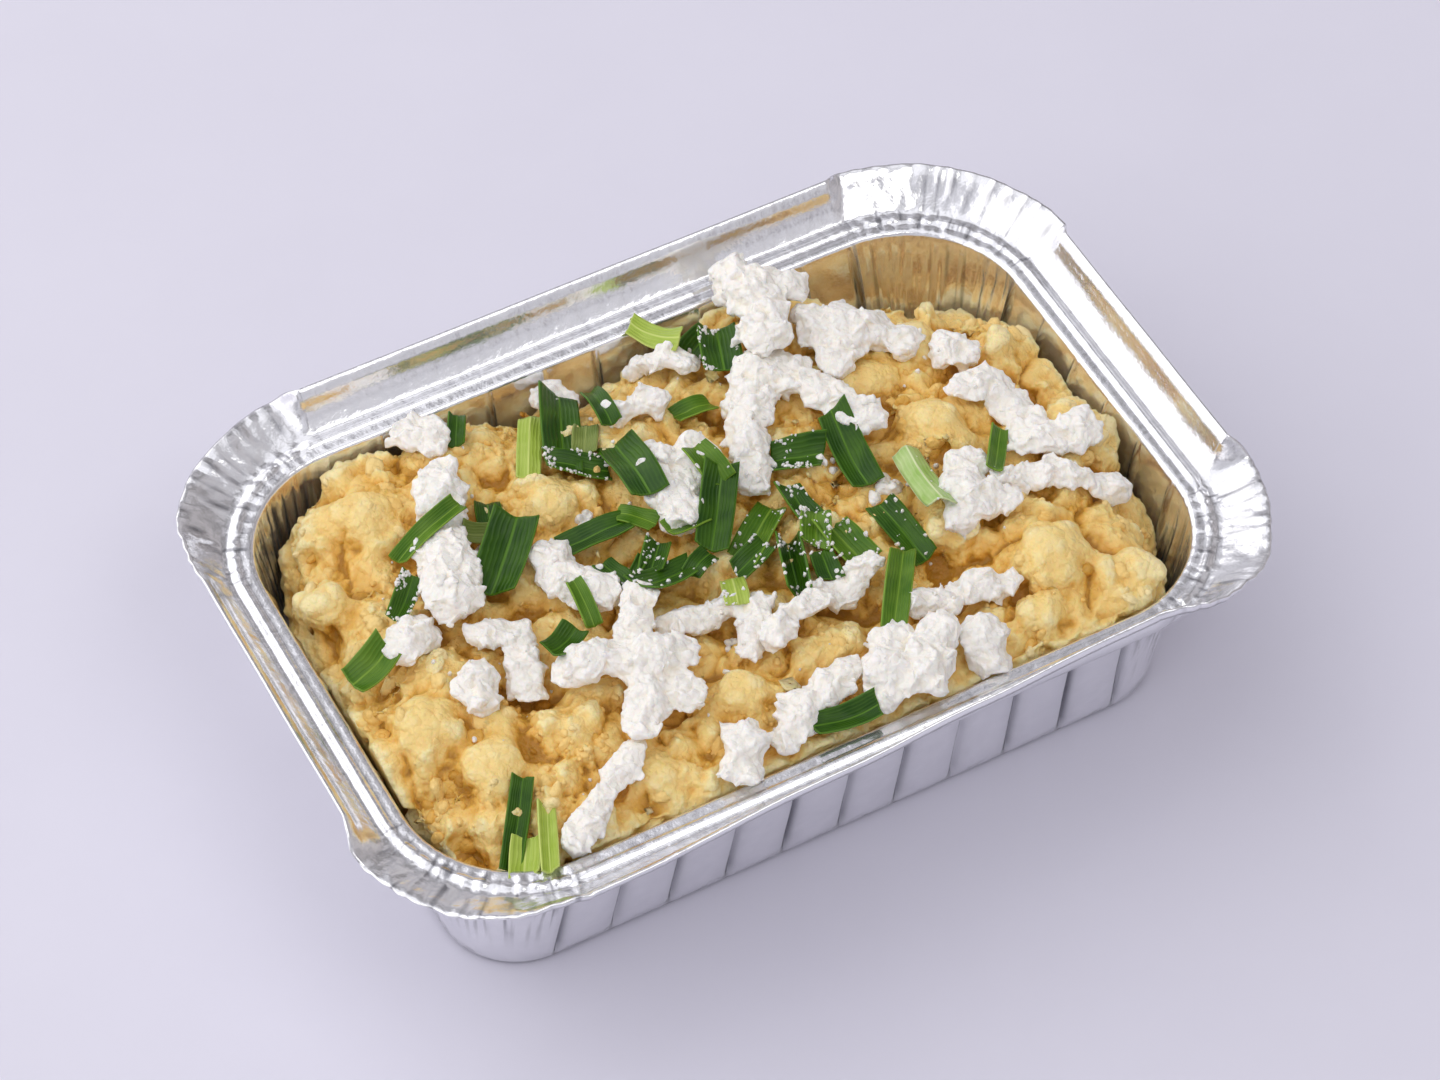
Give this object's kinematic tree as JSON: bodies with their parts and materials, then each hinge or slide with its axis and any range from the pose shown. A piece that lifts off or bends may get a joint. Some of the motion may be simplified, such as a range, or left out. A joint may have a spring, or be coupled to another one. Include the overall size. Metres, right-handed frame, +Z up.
{
  "type": "foil tray meal",
  "caption": "Rectangular pressed foil takeaway tray with fluted walls and a folded rim, filled with lumpy crushed potato under crumbled fresh cheese and chopped leek leaves.",
  "frame": {"origin": "centre of the overall box on the table, under the middle of the tray's base", "axes": "+X along the tray's length, +Y across it towards the back long side, +Z up"},
  "size_m": [0.2184, 0.1528, 0.0599],
  "materials": {
    "foil": "bright, crinkled at the corners",
    "potato": "moist, lumpy",
    "curd": "soft, crumbly",
    "green_leaf": "waxy, ribbed"
  },
  "bodies": {
    "root": {"foil_tray": "foil", "crushed_potato": "potato", "cheese_01": "curd", "cheese_02": "curd", "cheese_03": "curd", "cheese_04": "curd", "cheese_05": "curd", "cheese_06": "curd", "cheese_07": "curd", "cheese_08": "curd", "cheese_09": "curd", "cheese_10": "curd", "cheese_11": "curd", "cheese_12": "curd", "cheese_13": "curd", "cheese_14": "curd", "cheese_15": "curd", "cheese_16": "curd", "cheese_17": "curd", "cheese_18": "curd", "cheese_19": "curd", "cheese_20": "curd", "cheese_21": "curd", "cheese_22": "curd", "cheese_23": "curd", "cheese_24": "curd", "cheese_25": "curd", "cheese_26": "curd", "cheese_27": "curd", "leek_01": "green_leaf", "leek_02": "green_leaf", "leek_03": "green_leaf", "leek_04": "green_leaf", "leek_05": "green_leaf", "leek_06": "green_leaf", "leek_07": "green_leaf", "leek_08": "green_leaf", "leek_09": "green_leaf", "leek_10": "green_leaf", "leek_11": "green_leaf", "leek_12": "green_leaf", "leek_13": "green_leaf", "leek_14": "green_leaf", "leek_15": "green_leaf", "leek_16": "green_leaf", "leek_17": "green_leaf", "leek_18": "green_leaf", "leek_19": "green_leaf", "leek_20": "green_leaf", "leek_21": "green_leaf", "leek_22": "green_leaf", "leek_23": "green_leaf", "leek_24": "green_leaf", "leek_25": "green_leaf", "leek_26": "green_leaf", "leek_27": "green_leaf", "leek_28": "green_leaf", "leek_29": "green_leaf", "leek_30": "green_leaf", "leek_31": "green_leaf"}
  },
  "joints": []
}
